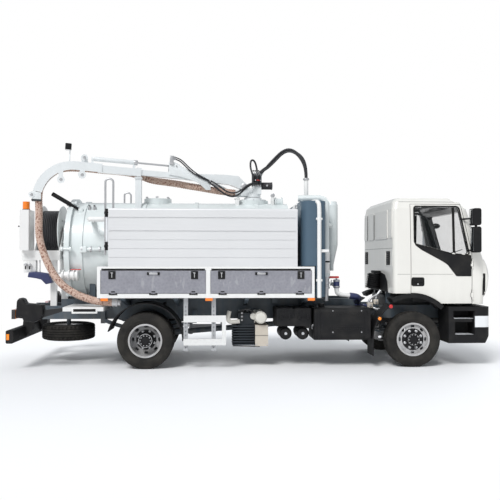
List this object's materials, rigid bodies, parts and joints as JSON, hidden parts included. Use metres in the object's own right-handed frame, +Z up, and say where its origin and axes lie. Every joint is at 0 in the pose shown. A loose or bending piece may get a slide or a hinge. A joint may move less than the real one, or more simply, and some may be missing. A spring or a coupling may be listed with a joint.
{
  "type": "pressure washer truck",
  "caption": "Tilt-cab truck with sludge tank, side water tanks, jetting hose reel and a slewing telescopic suction boom for cleaning sewers.",
  "frame": {"origin": "On the ground below the middle of the truck's length and width", "axes": "+X towards the cab, +Y to the truck's left, +Z up"},
  "size_m": [7.5499, 2.58, 3.5701],
  "materials": {
    "cab_paint": "warm off-white gloss paint",
    "body_white": "white paint",
    "frame_grey": "blue-grey chassis paint",
    "tank_paint": "pale blue-grey paint",
    "aluminium": "ribbed aluminium boards",
    "flap_metal": "mid-grey painted sheet",
    "black_plastic": "textured black plastic",
    "tyre": "black tyre rubber",
    "rim": "silver wheel paint",
    "glass": "tinted safety glass",
    "cast": "dark blue-grey castings",
    "steel": "bare steel",
    "seat_fabric": "dark seat cloth",
    "lamp": "lamp lenses",
    "hose_suction": "pinkish-beige ribbed suction hose",
    "hose_black": "black hydraulic hose",
    "hose_jet": "black jetting hose",
    "boom_white": "white boom paint"
  },
  "bodies": {
    "chassis": {"chassis_frame": "frame_grey", "subframe": "frame_grey", "outriggers": "frame_grey", "front_axle": "frame_grey", "rear_axle": "frame_grey", "spare_wheel": "tyre", "engine_block": "cast", "fuel_tank": "black_plastic", "battery_box": "black_plastic", "jet_pump": "cast", "side_guards": "body_white", "mudguards": "black_plastic", "underrun_bar": "black_plastic", "hose_trays": "body_white", "sludge_tank": "tank_paint", "water_tanks": "aluminium", "toolboxes": "body_white", "front_bumper": "black_plastic", "lamps": "lamp", "vacuum_unit": "tank_paint", "grab_rails": "steel", "boom_supports": "boom_white", "reel_frame": "body_white"},
    "cab": {"cab_shell": "cab_paint", "windscreen": "glass", "wheel_arches": "black_plastic", "front_grille": "black_plastic", "dashboard": "black_plastic", "seats": "seat_fabric"},
    "door_right_body": {"door_right": "cab_paint", "door_glass_right": "glass", "mirror_right": "black_plastic"},
    "door_left_body": {"door_left": "cab_paint", "door_glass_left": "glass", "mirror_left": "black_plastic"},
    "steer_right_body": {"knuckle_right": "cast"},
    "steer_left_body": {"knuckle_left": "cast"},
    "front_wheel_right": {"front_rim_right": "rim", "front_tyre_right": "tyre"},
    "front_wheel_left": {"front_rim_left": "rim", "front_tyre_left": "tyre"},
    "rear_wheels_right": {"rear_rims_right": "rim", "rear_tyres_right": "tyre"},
    "rear_wheels_left": {"rear_rims_left": "rim", "rear_tyres_left": "tyre"},
    "flap_rear_right_body": {"flap_rear_right": "flap_metal"},
    "flap_rear_left_body": {"flap_rear_left": "flap_metal"},
    "flap_front_right_body": {"flap_front_right": "flap_metal"},
    "flap_front_left_body": {"flap_front_left": "flap_metal"},
    "reel": {"reel_drum": "body_white", "reel_hose": "hose_jet"},
    "boom_base": {"slew_column": "boom_white", "hydraulic_arch": "hose_black"},
    "boom_arm": {"boom_inner": "boom_white", "suction_hose": "hose_suction"},
    "boom_slide": {"boom_outer": "boom_white", "suction_tail": "hose_suction", "hose_coupling": "steel"},
    "cylinder": {"lift_barrel": "boom_white"},
    "cylinder_rod": {"lift_rod": "steel"}
  },
  "joints": [
    {"name": "steer_right", "type": "hinge", "parent": "chassis", "child": "steer_right_body", "pos_m": [2.5, -0.8, 0.4335], "axis": [0, 0, 1], "range_deg": [-38, 38]},
    {"name": "steer_left", "type": "hinge", "parent": "chassis", "child": "steer_left_body", "pos_m": [2.5, 0.8, 0.4335], "axis": [0, 0, 1], "range_deg": [-38, 38]},
    {"name": "front_right_spin", "type": "hinge", "parent": "steer_right_body", "child": "front_wheel_right", "pos_m": [2.5, -0.985, 0.4335], "axis": [0, 1, 0], "continuous": true},
    {"name": "front_left_spin", "type": "hinge", "parent": "steer_left_body", "child": "front_wheel_left", "pos_m": [2.5, 0.985, 0.4335], "axis": [0, 1, 0], "continuous": true},
    {"name": "rear_right_spin", "type": "hinge", "parent": "chassis", "child": "rear_wheels_right", "pos_m": [-1.685, -0.995, 0.4335], "axis": [0, 1, 0], "continuous": true},
    {"name": "rear_left_spin", "type": "hinge", "parent": "chassis", "child": "rear_wheels_left", "pos_m": [-1.685, 0.995, 0.4335], "axis": [0, 1, 0], "continuous": true},
    {"name": "cab_tilt", "type": "hinge", "parent": "chassis", "child": "cab", "pos_m": [3.68, 0, 0.96], "axis": [0, 1, 0], "range_deg": [0, 50]},
    {"name": "door_right_swing", "type": "hinge", "parent": "cab", "child": "door_right_body", "pos_m": [3.469, -1.054, 1.4], "axis": [0, 0, 1], "range_deg": [0, 68]},
    {"name": "door_left_swing", "type": "hinge", "parent": "cab", "child": "door_left_body", "pos_m": [3.469, 1.054, 1.4], "axis": [0, 0, -1], "range_deg": [0, 68]},
    {"name": "flap_rear_right_drop", "type": "hinge", "parent": "chassis", "child": "flap_rear_right_body", "pos_m": [-1.5475, -1.254, 1.162], "axis": [1, 0, 0], "range_deg": [0, 90]},
    {"name": "flap_rear_left_drop", "type": "hinge", "parent": "chassis", "child": "flap_rear_left_body", "pos_m": [-1.5475, 1.254, 1.162], "axis": [-1, 0, 0], "range_deg": [0, 90]},
    {"name": "flap_front_right_drop", "type": "hinge", "parent": "chassis", "child": "flap_front_right_body", "pos_m": [0.095, -1.254, 1.162], "axis": [1, 0, 0], "range_deg": [0, 90]},
    {"name": "flap_front_left_drop", "type": "hinge", "parent": "chassis", "child": "flap_front_left_body", "pos_m": [0.095, 1.254, 1.162], "axis": [-1, 0, 0], "range_deg": [0, 90]},
    {"name": "reel_spin", "type": "hinge", "parent": "chassis", "child": "reel", "pos_m": [-3.335, 0, 2.15], "axis": [1, 0, 0], "continuous": true},
    {"name": "boom_slew", "type": "hinge", "parent": "chassis", "child": "boom_base", "pos_m": [0.035, 0, 2.75], "axis": [0, 0, 1], "range_deg": [-110, 95], "deforming": ["hydraulic_arch"]},
    {"name": "boom_lift", "type": "hinge", "parent": "boom_base", "child": "boom_arm", "pos_m": [-0.12232, -0.02916, 2.93], "axis": [-0.1822, 0.9833, 0], "range_deg": [0, 60], "deforming": ["suction_hose"]},
    {"name": "boom_extend", "type": "slide", "parent": "boom_arm", "child": "boom_slide", "axis": [-0.9814, -0.1819, 0.061], "range_m": [0, 0.45], "deforming": ["suction_tail", "hose_coupling"]},
    {"name": "cylinder_turn", "type": "hinge", "parent": "boom_base", "child": "cylinder", "pos_m": [-0.19021, -0.04174, 2.78394], "axis": [-0.1822, 0.9833, 0], "range_deg": [0, 56]},
    {"name": "cylinder_stroke", "type": "slide", "parent": "cylinder", "child": "cylinder_rod", "axis": [-0.8979, -0.1664, 0.4076], "range_m": [0, 0.16]}
  ],
  "couplings": [
    {"joint": "steer_left", "follows": "steer_right", "ratio": 1},
    {"joint": "cylinder_turn", "follows": "boom_lift", "ratio": 0.90004},
    {"joint": "cylinder_stroke", "follows": "boom_lift", "m_per_rad": 0.13914}
  ]
}
